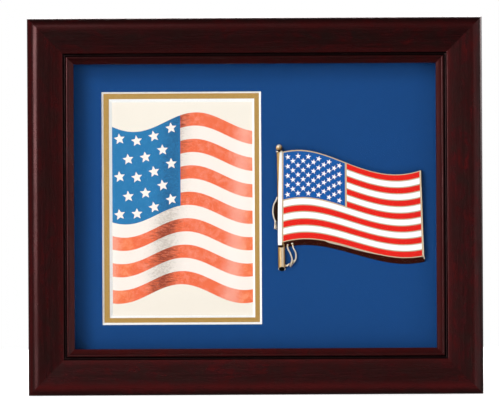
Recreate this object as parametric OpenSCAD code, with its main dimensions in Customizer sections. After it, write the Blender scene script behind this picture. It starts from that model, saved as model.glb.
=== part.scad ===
// Landscape medallion picture frame: mitred hardwood moulding, glazing, a double mat with a
// portrait picture window, and a waving-flag medallion of enamelled metal on the mat.
// The frame stands upright on its bottom rail. The easel leg behind it is folded flat.
// Local axes: X to the right, Y is the depth behind the frontmost edge, Z up from the centre.

/* [Frame] */
// Overall width of the moulding
frame_w = 304.8; // [290:0.1:330]
// Overall height of the moulding
frame_h = 253; // [250:0.1:280]
// Depth of the moulding from its front edge to its rear face
moulding_d = 25.4; // [25.4:0.1:30]
// Face width of the moulding, outer edge to sight edge
moulding_w = 31.1; // [30:0.1:34]
// Width of the lip that overhangs the glass
lip_w = 6.8; // [6:0.1:8]
// Radius of the rounded outer shoulder
shoulder_r = 7.5; // [3:0.1:8]

/* [Glazing and boards] */
// Clearance between the rabbet and the boards in it, each side
rabbet_gap = 0.6; // [0.4:0.1:1.2]
// Thickness of the glass
glass_t = 2; // [1.6:0.1:2.4]
// Height of the spacer strips between glass and mat
spacer_t = 7; // [6.5:0.1:7]
// Thickness of one mat board
mat_t = 1.4; // [1:0.1:1.4]
// Thickness of the filler board and of the backing board
board_t = 3; // [2.4:0.1:3]

/* [Picture window] */
// Centre of the window left of the frame's centre line
window_x = -49.7; // [-52:0.1:-46]
// Centre of the window above the frame's centre
window_z = -0.8; // [-3:0.1:3]
// Width of the picture that shows
window_w = 95; // [88:0.1:98]
// Height of the picture that shows
window_h = 145.2; // [138:0.1:150]
// Band of the gold mat that shows inside the blue mat
gold_band = 3.2; // [2:0.1:5]
// Width and height of the print behind the window
print_size = [101.6, 152.4];

/* [Medallion] */
// Height of the flag casting above the mat
casting_t = 3.4; // [3:0.1:4]
// Depth of the enamel cells
enamel_t = 0.8; // [0.5:0.1:1.2]
// Width of the metal line between two enamel fields
cell_wall = 0.2; // [0.15:0.01:0.4]
// Draft of the casting's wall below the flag
skirt = 3.6; // [1:0.1:4]
// Radius of the flagpole
pole_r = 2.2; // [1.8:0.1:2.3]

/* [Easel and hardware] */
// Height of the easel's hinge above the base
hinge_h = 190; // [180:1:195]
// Thickness of the easel leg
leg_t = 2.8; // [2.4:0.1:2.8]
// Width of the easel leg at the hinge
leg_top_w = 40; // [38:1:50]
// Width of the easel leg at its foot
leg_foot_w = 66; // [50:1:80]
// Length of a turn button between its two end centres
button_len = 20; // [16:1:24]

/* [Hidden] */
$fn = 48;

// Depths of the stack, front to back.
lip_t = 7;
glass_y = lip_t;
spacer_y = glass_y + glass_t;
mat_y = spacer_y + spacer_t;
gold_y = mat_y + mat_t;
print_y = gold_y + mat_t;
print_t = 0.3;
filler_y = print_y + print_t;
backing_y = filler_y + board_t;
backing_rear = backing_y + board_t;

// The rabbet and what fits in it.
rabbet_w = moulding_w - lip_w;
board_w = frame_w - 2 * (rabbet_w + rabbet_gap);
board_h = frame_h - 2 * (rabbet_w + rabbet_gap);
spacer_w = 5;

// Hinge of the easel leg. The axis runs along X.
leaf_t = 0.8;
knuckle_r = 2;
pin_r = 1;
knuckle_half = 8;
leaf_half = 16.3;
leaf_len = 22;
hinge_y = backing_rear + 0.4 + knuckle_r;
hinge_z = hinge_h - frame_h / 2;
leg_y = hinge_y + knuckle_r - leaf_t - leg_t;
heel_len = 5;
heel_y = 0.75;

// Rear hardware.
button_t = 1;
button_y = moulding_d + 0.3;
button_r = 5;
button_hole_r = 1.75;
pivot_inset = 7;
screw_head_y = button_y + button_t + 0.1;
screw_head_t = 1.4;
pivot_x = frame_w / 2 - rabbet_w + pivot_inset;
pivot_z = frame_h / 2 - rabbet_w + pivot_inset;
button_x = 70;
BUTTONS = [
    [-button_x, pivot_z, 180], [button_x, pivot_z, 180],
    [-pivot_x, 0, -90], [pivot_x, 0, 90],
    [-button_x, -pivot_z, 0], [button_x, -pivot_z, 0]
];
rivet_head_t = 0.8;
depth = hinge_y + knuckle_r + rivet_head_t;

// The flag's two long edges are waves. hoist_x and fly_x are its left and right edges.
hoist_x = [18.6, 17.95];
fly_x = [111.7, 113.7];
canton_x = 60.9;
canton_v = 7 / 13;
wave_len = 125;
flag_half = 28.7;
wave_amp = [8.4, 6.5];
wave_phase = [2.4, -14.1];
enamel_y = mat_y - casting_t;
cell_y = enamel_y + enamel_t;
steps = 36;

function mix(pair, k) = pair[0] + (pair[1] - pair[0]) * k;
function flag_z(x, v) =
    flag_half - 2 * flag_half * v
    + mix(wave_amp, v) * sin(360 * x / wave_len + mix(wave_phase, v))
    + 0.4 * sin(720 * x / wave_len - 32);
function row(v, x0, x1, n) = [for (i = [0:n]) let (x = x0 + (x1 - x0) * i / n) [x, flag_z(x, v)]];
function flipped(list) = [for (i = [len(list) - 1:-1:0]) list[i]];

// Pole axis: it leans a little to the left.
pole_lean = 0.75;
pole_x = 17.15;
pole_y = mat_y - pole_r - 0.05;
pole_top = 36.8;
pole_foot = -43.6;
ferrule_top = -26.6;
ferrule_r = pole_r + 0.3;
function pole_at(z) = [pole_x - z * tan(pole_lean), pole_y, z];
cord_r = 0.45;
cord_y = mat_y - 1.4;
tassel_r = 0.9;

// Studs that fasten the casting through both mats.
stud_r = 1.5;
stud_len = 2 * mat_t + 1.8;
STUDS = [[32, 20], [98, 8], [66, -16]];

// Two driven nails in each mitre, as distances from the outer corner along X and Z.
V_PLACES = [7, 17];

module place() {
    translate([0, -depth / 2, frame_h / 2])
        children();
}

// Extrudes a shape drawn in X and Z from depth y0 to depth y0 + t.
module slab(y0, t) {
    translate([0, y0 + t, 0])
        rotate([90, 0, 0])
            linear_extrude(t)
                children();
}

module rod(a, b, r) {
    d = b - a;
    l = norm(d);
    translate(a)
        rotate([0, acos(d[2] / l), atan2(d[1], d[0])])
            cylinder(r = r, h = l);
}

module cord(points, r) {
    for (i = [0:len(points) - 2])
        rod(points[i], points[i + 1], r);
    for (p = points)
        translate(p)
            sphere(r = r * 1.12);
}

// ---- moulding ----

// Section of the moulding: depth along the first axis, inward from the outer edge along -second.
module moulding_section() {
    face_in = moulding_w - 7.6;
    groove_in = moulding_w - 6;
    difference() {
        polygon([
            [0, 0], [moulding_d, 0], [moulding_d, -rabbet_w], [lip_t, -rabbet_w],
            [lip_t, -moulding_w], [4.4, -moulding_w], [2.4, -groove_in - 2.6],
            [1.9, -groove_in - 1.7], [2, -groove_in - 1], [1.4, -face_in], [0, -shoulder_r]
        ]);
        difference() {
            translate([-1, -shoulder_r])
                square(shoulder_r + 1);
            translate([shoulder_r, -shoulder_r])
                circle(r = shoulder_r);
        }
        translate([2.3, -groove_in])
            circle(r = 1.15);
        translate([0.2, -groove_in - 0.75])
            square([2.1, 1.5]);
    }
}

module frame_side(length, reach) {
    mitre = 40;
    intersection() {
        translate([-length / 2, 0, reach])
            rotate([90, 0, 90])
                linear_extrude(length)
                    moulding_section();
        slab(-1, moulding_d + 2)
            polygon([
                [-length / 2, reach], [length / 2, reach],
                [length / 2 - mitre, reach - mitre], [-length / 2 + mitre, reach - mitre]
            ]);
    }
}

module v_nail_set() {
    for (sx = [0, 1], sz = [0, 1], c = V_PLACES)
        mirror([sx, 0, 0])
            mirror([0, 0, sz])
                translate([frame_w / 2 - c, 0, frame_h / 2 - c])
                    slab(moulding_d - 8, 8)
                        rotate(-45)
                            polygon([[-5, 0], [0, 2], [5, 0], [5, 0.6], [0, 2.6], [-5, 0.6]]);
}

module fastener_holes() {
    v_nail_set();
    for (b = BUTTONS)
        translate([b[0], moulding_d - 12, b[1]])
            rotate([-90, 0, 0])
                cylinder(r = 1.25, h = 13);
    for (sx = [-1, 1])
        translate([sx * 20, moulding_d - 10, hanger_z])
            rotate([-90, 0, 0])
                cylinder(r = 0.7, h = 11);
}

module rail_top() {
    color([0.24, 0.10, 0.10])
        place()
            difference() {
                frame_side(frame_w, frame_h / 2);
                fastener_holes();
            }
}

module rail_bottom() {
    color([0.24, 0.10, 0.10])
        place()
            difference() {
                mirror([0, 0, 1])
                    frame_side(frame_w, frame_h / 2);
                fastener_holes();
            }
}

module stile_left() {
    color([0.24, 0.10, 0.10])
        place()
            difference() {
                rotate([0, -90, 0])
                    frame_side(frame_h, frame_w / 2);
                fastener_holes();
            }
}

module stile_right() {
    color([0.24, 0.10, 0.10])
        place()
            difference() {
                rotate([0, 90, 0])
                    frame_side(frame_h, frame_w / 2);
                fastener_holes();
            }
}

module v_nails() {
    color([0.55, 0.55, 0.57])
        place()
            v_nail_set();
}

// ---- glazing, mats and boards ----

module board(y0, t) {
    slab(y0, t)
        square([board_w, board_h], center = true);
}

module glass_pane() {
    color([0.85, 0.92, 0.95, 0.2])
        place()
            board(glass_y, glass_t);
}

module spacer_bar(length, reach) {
    slab(spacer_y, spacer_t)
        translate([-length / 2, reach - spacer_w])
            square([length, spacer_w]);
}

module spacer_top() {
    color([0.06, 0.06, 0.07])
        place()
            spacer_bar(board_w, board_h / 2);
}

module spacer_bottom() {
    color([0.06, 0.06, 0.07])
        place()
            mirror([0, 0, 1])
                spacer_bar(board_w, board_h / 2);
}

module spacer_left() {
    color([0.06, 0.06, 0.07])
        place()
            rotate([0, -90, 0])
                spacer_bar(board_h - 2 * spacer_w, board_w / 2);
}

module spacer_right() {
    color([0.06, 0.06, 0.07])
        place()
            rotate([0, 90, 0])
                spacer_bar(board_h - 2 * spacer_w, board_w / 2);
}

// Window with a 45 degree bevel all round, as large as w by h at the board's rear face.
module bevelled_window(y0, w, h) {
    over = mat_t + 0.5;
    translate([window_x, y0, window_z])
        intersection() {
            translate([0, 0, -h])
                linear_extrude(2 * h)
                    polygon([
                        [-w / 2 - over, -0.5], [w / 2 + over, -0.5],
                        [w / 2, mat_t], [w / 2, mat_t + 0.5], [-w / 2, mat_t + 0.5], [-w / 2, mat_t]
                    ]);
            translate([-w, 0, 0])
                rotate([90, 0, 90])
                    linear_extrude(2 * w)
                        polygon([
                            [-0.5, -h / 2 - over], [-0.5, h / 2 + over],
                            [mat_t, h / 2], [mat_t + 0.5, h / 2], [mat_t + 0.5, -h / 2], [mat_t, -h / 2]
                        ]);
        }
}

module stud_holes(y0, t, r) {
    for (s = STUDS)
        translate([s[0], y0, s[1]])
            rotate([-90, 0, 0])
                cylinder(r = r, h = t);
}

module mat_blue() {
    inset = mat_t + gold_band;
    color([0.10, 0.27, 0.48])
        place()
            difference() {
                board(mat_y, mat_t);
                bevelled_window(mat_y, window_w + 2 * inset, window_h + 2 * inset);
                stud_holes(mat_y - 1, mat_t + 2, stud_r + 0.1);
            }
}

module mat_gold() {
    color([0.72, 0.58, 0.33])
        place()
            difference() {
                board(gold_y, mat_t);
                bevelled_window(gold_y, window_w, window_h);
                stud_holes(gold_y - 1, mat_t + 2, stud_r + 0.1);
            }
}

module photo_print() {
    color([0.97, 0.94, 0.86])
        place()
            slab(print_y, print_t)
                translate([window_x, window_z])
                    square(print_size, center = true);
}

module filler_board() {
    color([0.85, 0.84, 0.80])
        place()
            difference() {
                board(filler_y, board_t);
                stud_holes(filler_y - 1, 3, 5);
            }
}

module backing_board() {
    color([0.16, 0.13, 0.11])
        place()
            difference() {
                board(backing_y, board_t);
                rivet_shafts(1, backing_y - 1, board_t + 2);
            }
}

// ---- medallion ----

// A field of the flag between two heights v0 and v1 and two edges, each edge top and bottom.
module field(v0, v1, xa, xb, n) {
    polygon(concat(
        row(v0, mix(xa, v0), mix(xb, v0), n),
        flipped(row(v1, mix(xa, v1), mix(xb, v1), n))
    ));
}

module stripe(i) {
    dv = cell_wall / (4 * flag_half);
    xa = i < 7 ? [canton_x + cell_wall / 2, canton_x + cell_wall / 2] : hoist_x;
    field(i / 13 + dv, (i + 1) / 13 - dv, xa, fly_x, i < 7 ? 20 : steps);
}

module star(r) {
    polygon([for (i = [0:9]) let (q = i % 2 == 0 ? r : r * 0.42) [q * sin(36 * i), q * cos(36 * i)]]);
}

module stars(r) {
    for (line = [0:8]) {
        v = canton_v * (line + 1) / 10;
        count = line % 2 == 0 ? 6 : 5;
        for (k = [0:count - 1]) {
            u = (line % 2 == 0 ? 2 * k + 1 : 2 * k + 2) / 12;
            x = mix([mix(hoist_x, v), canton_x], u);
            translate([x, flag_z(x, v)])
                rotate(atan((flag_z(x + 0.5, v) - flag_z(x - 0.5, v))))
                    star(r);
        }
    }
}

module canton() {
    half = cell_wall / 2;
    field(half / 57.6, canton_v - half / 57.6, hoist_x, [canton_x - half, canton_x - half], 20);
}

module flag_outline(drop) {
    polygon(concat(
        row(-0.006, hoist_x[0] - 0.3, fly_x[0] + 0.35 + drop * 0.2, steps),
        [for (p = flipped(row(1.006, hoist_x[1] - 0.3, fly_x[1] + 0.35 + drop * 0.2, steps)))
            [p[0], p[1] - drop]]
    ));
}

module casting_tiers() {
    tier = (casting_t - enamel_t) / 3;
    for (i = [0:2])
        slab(mat_y - tier * (i + 1), tier)
            flag_outline(skirt * (3 - i) / 3);
}

module medallion_casting() {
    color([0.76, 0.60, 0.33])
        place()
            union() {
                casting_tiers();
                slab(enamel_y, enamel_t + 0.2)
                    difference() {
                        flag_outline(0);
                        for (i = [0:12])
                            stripe(i);
                        canton();
                    }
                for (s = STUDS)
                    rod([s[0], mat_y - 1, s[1]], [s[0], mat_y + stud_len, s[1]], stud_r);
            }
}

module enamel_red() {
    color([0.90, 0.14, 0.13])
        place()
            slab(enamel_y, enamel_t)
                for (i = [0:2:12])
                    stripe(i);
}

module enamel_white() {
    color([0.97, 0.97, 0.97])
        place()
            slab(enamel_y, enamel_t)
                for (i = [1:2:11])
                    stripe(i);
}

module enamel_blue() {
    color([0.10, 0.32, 0.66])
        place()
            slab(enamel_y, enamel_t)
                difference() {
                    canton();
                    stars(1.75);
                }
}

module enamel_stars() {
    color([0.97, 0.97, 0.97])
        place()
            slab(enamel_y, enamel_t)
                stars(1.65);
}

module flag_heading() {
    top = flag_z(hoist_x[0], 0);
    foot = flag_z(hoist_x[1], 1);
    color([0.95, 0.95, 0.95])
        place()
            intersection() {
                slab(mat_y - 6, 6 - pole_r)
                    polygon([[16.4, top], [18.2, top], [17.55, foot], [15.4, foot]]);
                difference() {
                    rod(pole_at(foot - 2), pole_at(top + 2), pole_r + 0.45);
                    rod(pole_at(foot - 3), pole_at(top + 3), pole_r + 0.02);
                }
            }
}

module flagpole() {
    color([0.78, 0.62, 0.35])
        place()
            difference() {
                rod(pole_at(pole_foot), pole_at(pole_top), pole_r);
                rod(pole_at(pole_foot - 1), pole_at(pole_foot + 4), pole_r - 0.7);
                slab(mat_y - 10, 11)
                    translate([-0.12, 0])
                        flag_outline(skirt);
            }
}

module pole_ferrule() {
    color([0.78, 0.62, 0.35])
        place()
            difference() {
                rod(pole_at(pole_foot + 1.5), pole_at(ferrule_top), ferrule_r);
                rod(pole_at(pole_foot - 1), pole_at(ferrule_top + 1), pole_r);
                slab(mat_y, 3)
                    square(200, center = true);
                slab(mat_y - 10, 11)
                    translate([-0.12, 0])
                        flag_outline(skirt);
            }
}

module pole_finial() {
    color([0.78, 0.62, 0.35])
        place()
            intersection() {
                union() {
                    translate(pole_at(pole_top + 2.6))
                        sphere(r = 2.15);
                    rod(pole_at(pole_top), pole_at(pole_top + 1.2), 1.6);
                }
                slab(mat_y - 10, 10)
                    square(200, center = true);
            }
}

module halyard_upper() {
    color([0.80, 0.66, 0.38])
        place()
            cord([
                [14.3, cord_y - 0.4, 5.8], [13.4, cord_y, 2.6], [11.7, cord_y, -3.4],
                [11.9, cord_y, -7.1], [13.0, cord_y, -12.2]
            ], cord_r);
}

module tassel_upper() {
    color([0.80, 0.66, 0.38])
        place()
            translate([13, cord_y, -16])
                cylinder(r1 = tassel_r, r2 = cord_r, h = 3.3);
}

module halyard_lower() {
    color([0.80, 0.66, 0.38])
        place()
            union() {
                cord([
                    [21.6, cord_y, -28.0], [22.1, cord_y, -29.4], [24.6, cord_y, -35.4],
                    [24.7, cord_y, -37.0], [22.7, cord_y, -39.3], [20.7, cord_y, -39.9]
                ], cord_r);
                cord([
                    [25.2, cord_y, -27.6], [25.6, cord_y, -29.2], [27.0, cord_y, -33.3],
                    [26.8, cord_y, -36.7], [25.4, cord_y, -39.2]
                ], cord_r);
            }
}

module tassel_lower() {
    color([0.80, 0.66, 0.38])
        place()
            translate([25.4, cord_y, -42.9])
                cylinder(r1 = tassel_r, r2 = cord_r, h = 3.2);
}

module push_nuts() {
    color([0.6, 0.6, 0.62])
        place()
            for (s = STUDS)
                translate([s[0], print_y, s[1]])
                    rotate([-90, 0, 0])
                        difference() {
                            union() {
                                cylinder(r = 4, h = 0.5);
                                cylinder(r = 2.2, h = 1.4);
                            }
                            translate([0, 0, -1])
                                cylinder(r = stud_r + 0.02, h = 4);
                        }
}

// ---- rear hardware ----

module turn_button(i) {
    b = BUTTONS[i];
    color([0.16, 0.16, 0.17])
        place()
            translate([b[0], 0, b[1]])
                rotate([0, -b[2], 0])
                    slab(button_y, button_t)
                        difference() {
                            union() {
                                circle(r = button_r);
                                translate([0, button_len])
                                    circle(r = button_r - 1);
                                translate([-button_r + 1, 0])
                                    square([2 * button_r - 2, button_len]);
                            }
                            circle(r = button_hole_r);
                        }
}

module turn_button_top_left() { turn_button(0); }
module turn_button_top_right() { turn_button(1); }
module turn_button_left() { turn_button(2); }
module turn_button_right() { turn_button(3); }
module turn_button_bottom_left() { turn_button(4); }
module turn_button_bottom_right() { turn_button(5); }

module turn_button_screws() {
    color([0.62, 0.60, 0.52])
        place()
            for (b = BUTTONS)
                translate([b[0], 0, b[1]])
                    rotate([-90, 0, 0])
                        difference() {
                            union() {
                                translate([0, 0, moulding_d - 12])
                                    cylinder(r = 1.25, h = 12);
                                translate([0, 0, moulding_d])
                                    cylinder(r = button_hole_r - 0.05, h = screw_head_y - moulding_d);
                                translate([0, 0, screw_head_y])
                                    cylinder(r = 3.4, h = screw_head_t);
                            }
                            translate([-2.2, -0.4, screw_head_y + 0.6])
                                cube([4.4, 0.8, 2]);
                            translate([-0.4, -2.2, screw_head_y + 0.6])
                                cube([0.8, 4.4, 2]);
                        }
}

hanger_z = frame_h / 2 - 13;

module sawtooth_hanger() {
    rise = 1.2;
    color([0.75, 0.75, 0.77])
        place()
            difference() {
                translate([0, moulding_d, hanger_z - 5])
                    linear_extrude(10)
                        polygon([
                            [-25, 0], [-15, 0], [-13, rise], [13, rise], [15, 0], [25, 0],
                            [25, 0.8], [15.4, 0.8], [13.4, rise + 0.8], [-13.4, rise + 0.8],
                            [-15.4, 0.8], [-25, 0.8]
                        ]);
                for (x = [-11:2:11])
                    slab(moulding_d - 1, 5)
                        translate([x, hanger_z - 5])
                            polygon([[-1, -0.1], [1, -0.1], [0, 1.8]]);
                for (sx = [-1, 1])
                    translate([sx * 20, moulding_d - 1, hanger_z])
                        rotate([-90, 0, 0])
                            cylinder(r = 0.7, h = 4);
            }
}

module hanger_nails() {
    color([0.62, 0.60, 0.52])
        place()
            for (sx = [-1, 1])
                translate([sx * 20, 0, hanger_z])
                    rotate([-90, 0, 0])
                        union() {
                            translate([0, 0, moulding_d - 10])
                                cylinder(r = 0.7, h = 10.8);
                            translate([0, 0, moulding_d + 0.8])
                                cylinder(r = 2, h = 0.7);
                        }
}

module bumper_pads() {
    color([0.12, 0.12, 0.12])
        place()
            for (sx = [-1, 1])
                translate([sx * (frame_w / 2 - 12), moulding_d, 12 - frame_h / 2])
                    rotate([-90, 0, 0])
                        cylinder(r = 5, h = 2);
}

// ---- easel ----

// side 1 is the backing board's leaf, side -1 the leg's leaf.
module rivet_shafts(side, y0, t) {
    for (sx = [-1, 1])
        translate([sx * 10, y0, hinge_z + side * 14])
            rotate([-90, 0, 0])
                cylinder(r = 1.5, h = t);
}

module easel_board_leaf() {
    plate_y = backing_rear;
    color([0.66, 0.60, 0.45])
        place()
            difference() {
                union() {
                    translate([-leaf_half, plate_y, hinge_z + 2.5])
                        cube([2 * leaf_half, leaf_t, leaf_len - 2.5]);
                    translate([-knuckle_half, plate_y, hinge_z])
                        cube([2 * knuckle_half, leaf_t, 3]);
                    rod([-knuckle_half, hinge_y, hinge_z], [knuckle_half, hinge_y, hinge_z], knuckle_r);
                }
                rod([-30, hinge_y, hinge_z], [30, hinge_y, hinge_z], pin_r);
                rivet_shafts(1, plate_y - 1, 3);
            }
}

module easel_board_rivets() {
    color([0.75, 0.70, 0.55])
        place()
            union() {
                rivet_shafts(1, backing_y, backing_rear + leaf_t - backing_y);
                for (sx = [-1, 1])
                    translate([sx * 10, backing_rear + leaf_t, hinge_z + 14])
                        rotate([-90, 0, 0])
                            cylinder(r = 2.6, h = rivet_head_t);
            }
}

module easel_hinge_pin() {
    color([0.70, 0.70, 0.70])
        place()
            rod([-leaf_half, hinge_y, hinge_z], [leaf_half, hinge_y, hinge_z], pin_r);
}

module easel_leg() {
    top = hinge_z - 3.2;
    foot = 4 - frame_h / 2;
    color([0.16, 0.13, 0.11])
        place()
            difference() {
                slab(leg_y, leg_t)
                    polygon([
                        [-leg_top_w / 2, top], [leg_top_w / 2, top],
                        [leg_foot_w / 2, foot], [-leg_foot_w / 2, foot]
                    ]);
                rivet_shafts(-1, leg_y - 1, leg_t + 2);
            }
}

module easel_leg_leaf() {
    plate_y = leg_y + leg_t;
    color([0.66, 0.60, 0.45])
        place()
            difference() {
                union() {
                    translate([-leaf_half, plate_y, hinge_z - leaf_len])
                        cube([2 * leaf_half, leaf_t, leaf_len - 2.5]);
                    for (sx = [0, 1])
                        mirror([sx, 0, 0]) {
                            translate([knuckle_half + 0.3, plate_y, hinge_z - 3])
                                cube([leaf_half - knuckle_half - 0.3, leaf_t, 3]);
                            translate([knuckle_half + 0.3, hinge_y + heel_y, hinge_z])
                                cube([leaf_half - knuckle_half - 0.3, leaf_t, heel_len]);
                            rod(
                                [knuckle_half + 0.3, hinge_y, hinge_z],
                                [leaf_half, hinge_y, hinge_z], knuckle_r
                            );
                        }
                }
                rod([-30, hinge_y, hinge_z], [30, hinge_y, hinge_z], pin_r + 0.05);
                rivet_shafts(-1, plate_y - 1, 3);
            }
}

module easel_leg_rivets() {
    color([0.75, 0.70, 0.55])
        place()
            union() {
                rivet_shafts(-1, leg_y, leg_t + leaf_t);
                for (sx = [-1, 1])
                    translate([sx * 10, leg_y + leg_t + leaf_t, hinge_z - 14])
                        rotate([-90, 0, 0])
                            cylinder(r = 2.6, h = rivet_head_t);
            }
}

rail_top();
rail_bottom();
stile_left();
stile_right();
v_nails();
glass_pane();
spacer_top();
spacer_bottom();
spacer_left();
spacer_right();
mat_blue();
mat_gold();
photo_print();
filler_board();
backing_board();
medallion_casting();
enamel_red();
enamel_white();
enamel_blue();
enamel_stars();
flag_heading();
flagpole();
pole_ferrule();
pole_finial();
halyard_upper();
tassel_upper();
halyard_lower();
tassel_lower();
push_nuts();
turn_button_top_left();
turn_button_top_right();
turn_button_left();
turn_button_right();
turn_button_bottom_left();
turn_button_bottom_right();
turn_button_screws();
sawtooth_hanger();
hanger_nails();
bumper_pads();
easel_board_leaf();
easel_board_rivets();
easel_hinge_pin();
easel_leg();
easel_leg_leaf();
easel_leg_rivets();
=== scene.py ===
"""Medallion picture frame: materials, mats, printed picture, enamelled medallion, stage and camera."""

import math
import random

import bpy
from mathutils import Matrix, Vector


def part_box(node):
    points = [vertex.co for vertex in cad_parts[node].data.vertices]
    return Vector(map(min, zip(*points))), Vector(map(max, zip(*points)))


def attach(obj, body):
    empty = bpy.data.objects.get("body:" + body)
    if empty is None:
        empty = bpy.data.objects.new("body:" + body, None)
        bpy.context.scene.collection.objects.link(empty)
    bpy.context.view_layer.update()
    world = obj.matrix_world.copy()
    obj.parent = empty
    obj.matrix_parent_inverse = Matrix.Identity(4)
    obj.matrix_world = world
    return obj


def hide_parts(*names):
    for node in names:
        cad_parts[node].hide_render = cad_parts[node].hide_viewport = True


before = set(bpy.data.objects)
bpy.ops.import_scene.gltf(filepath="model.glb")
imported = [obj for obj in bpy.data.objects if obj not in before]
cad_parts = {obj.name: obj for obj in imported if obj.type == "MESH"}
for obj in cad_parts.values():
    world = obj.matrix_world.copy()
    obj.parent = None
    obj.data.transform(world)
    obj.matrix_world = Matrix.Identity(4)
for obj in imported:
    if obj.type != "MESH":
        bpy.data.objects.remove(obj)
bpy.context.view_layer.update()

# ---------------------------------------------------------------------------
# Sizes and places, in millimetres: x to the right, depth behind the front
# edge, z up from the frame's centre.
# ---------------------------------------------------------------------------
MM = 0.001
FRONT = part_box("rail_top")[0].y
MID_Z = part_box("rail_top")[1].z / 2


def depth_of(node, side=0):
    """Depth of a node's front (side 0) or rear (side 1) face."""
    return (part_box(node)[side].y - FRONT) / MM


def at(p):
    return Vector((p[0] * MM, FRONT + p[1] * MM, MID_Z + p[2] * MM))


BLUE_FRONT = depth_of("mat_blue")
GOLD_FRONT = depth_of("mat_gold")
PRINT_FRONT = depth_of("photo_print")
MAT_T = GOLD_FRONT - BLUE_FRONT
BOARD_HALF = [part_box("mat_blue")[1].x / MM, (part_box("mat_blue")[1].z - MID_Z) / MM]
WINDOW_MID = [-49.7, -0.8]
WINDOW = [95.0, 145.2]
FACING = 0.15

# The flag's long edges are waves, as in the CAD casting.
FLAG_HALF = 28.7
HOIST = [18.6, 17.95]
FLY = [111.0, 112.8]
CANTON_X = 60.9
CANTON_V = 7 / 13
CELL = 0.08
SKIRT = 4.0
FACE_DEPTH = depth_of("enamel_red")
CASTING_T = BLUE_FRONT - FACE_DEPTH
POLE_X = 17.15
POLE_LEAN = math.tan(math.radians(0.75))
POLE_R = 2.2
CORD_DEPTH = BLUE_FRONT - 1.4


def mix(pair, k):
    return pair[0] + (pair[1] - pair[0]) * k


def flag_z(x, v):
    amp = mix((8.4, 6.5), v)
    phase = math.radians(mix((2.4, -14.1), v))
    turn = 2 * math.pi * x / 125
    ripple = 0.4 * math.sin(2 * turn - math.radians(32))
    return FLAG_HALF - 2 * FLAG_HALF * v + amp * math.sin(turn + phase) + ripple


def lift(x, v):
    """Shallow relief of the folds in the casting's face."""
    return 0.28 * math.sin(2 * math.pi * (x - 30) / 62 + 0.9 * v)


# ---------------------------------------------------------------------------
# Mesh helpers
# ---------------------------------------------------------------------------
def piece(name, verts, faces, mats, body="frame", slots=None, smooth=False, stage=False):
    data = bpy.data.meshes.new(name)
    data.from_pydata([at(v) for v in verts], [], faces)
    for m in mats:
        data.materials.append(m)
    if slots:
        data.polygons.foreach_set("material_index", slots)
    data.polygons.foreach_set("use_smooth", [bool(smooth)] * len(data.polygons))
    if smooth and smooth is not True:
        data.set_sharp_from_angle(angle=math.radians(smooth))
    data.update()
    obj = bpy.data.objects.new(name, data)
    bpy.context.scene.collection.objects.link(obj)
    if stage:
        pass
    else:
        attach(obj, body)
    return obj


def grid_faces(rows, cols, start=0, wrap_cols=False):
    faces = []
    for r in range(rows - 1):
        near, far = start + r * cols, start + (r + 1) * cols
        for c in range(cols if wrap_cols else cols - 1):
            after = (c + 1) % cols
            faces.append([near + c, near + after, far + after, far + c])
    return faces


class Build:
    """Collects vertices and faces of one mesh."""

    def __init__(self):
        self.verts, self.faces, self.slots = [], [], []

    def grid(self, rows, slot=0, wrap_cols=False):
        start = len(self.verts)
        for row in rows:
            self.verts.extend(row)
        new = grid_faces(len(rows), len(rows[0]), start, wrap_cols)
        self.faces += new
        self.slots += [slot] * len(new)

    def face(self, points, slot=0):
        start = len(self.verts)
        self.verts.extend(points)
        self.faces.append(list(range(start, start + len(points))))
        self.slots.append(slot)

    def piece(self, name, mats, **kw):
        return piece(name, self.verts, self.faces, mats, slots=self.slots, **kw)


def paint(obj, name, values):
    """Gives each vertex up to three tones, for the material to read."""
    tint = obj.data.color_attributes.new(name, "FLOAT_COLOR", "POINT")
    for i, v in enumerate(values):
        tint.data[i].color = (*v, *[0] * (3 - len(v)), 1)


def curve_through(points, per=8):
    """Catmull-Rom curve through the points."""
    pts = [Vector(p) for p in points]
    pts = [2 * pts[0] - pts[1]] + pts + [2 * pts[-1] - pts[-2]]
    out = []
    for i in range(1, len(pts) - 2):
        a, b, c, d = pts[i - 1 : i + 3]
        for k in range(per):
            t = k / per
            square, cube = 2 * a - 5 * b + 4 * c - d, 3 * b - a - 3 * c + d
            out.append(0.5 * ((2 * b) + (c - a) * t + square * t * t + cube * t**3))
    out.append(pts[-2])
    return out


def ring(mid, a, b, radius, sides):
    """Points of a circle about mid in the plane of a and b."""
    turns = (2 * math.pi * k / sides for k in range(sides))
    return [mid + radius * (a * math.cos(q) + b * math.sin(q)) for q in turns]


def capped(build, rows, slot=0):
    """Adds a closed tube: rings of points with a face over each end."""
    build.grid(rows, slot, wrap_cols=True)
    build.face(list(reversed(rows[0])), slot)
    build.face(rows[-1], slot)


def frames_along(path):
    """Points with two cross directions that turn as little as possible."""
    out = []
    side = Vector((0, -1, 0))
    for i, p in enumerate(path):
        t = (path[min(i + 1, len(path) - 1)] - path[max(i - 1, 0)]).normalized()
        side = (side - t * side.dot(t)).normalized()
        out.append((p, side, t.cross(side)))
    return out


def tube(build, path, radius, sides=10, slot=0):
    """Round tube with closed ends; radius is a number or a function of 0..1 along the path."""
    ringed = frames_along(path)
    rows = []
    for i, (p, a, b) in enumerate(ringed):
        r = radius(i / (len(path) - 1)) if callable(radius) else radius
        rows.append(ring(p, a, b, r, sides))
    capped(build, rows, slot)


def rope(build, points, radius, pitch=2.2, strands=2, slot=0):
    """Twisted strands round a smooth route."""
    path = curve_through(points, 14)
    ringed = frames_along(path)
    gone = [0.0]
    for a, b in zip(path, path[1:]):
        gone.append(gone[-1] + (b - a).length)
    for s in range(strands):
        line = []
        for (p, a, b), g in zip(ringed, gone):
            q = 2 * math.pi * (g / pitch + s / strands)
            line.append(p + 0.48 * radius * (a * math.cos(q) + b * math.sin(q)))
        tube(build, line, radius * 0.50, 8, slot)
    tube(build, path, radius * 0.42, 8, 1)


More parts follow.
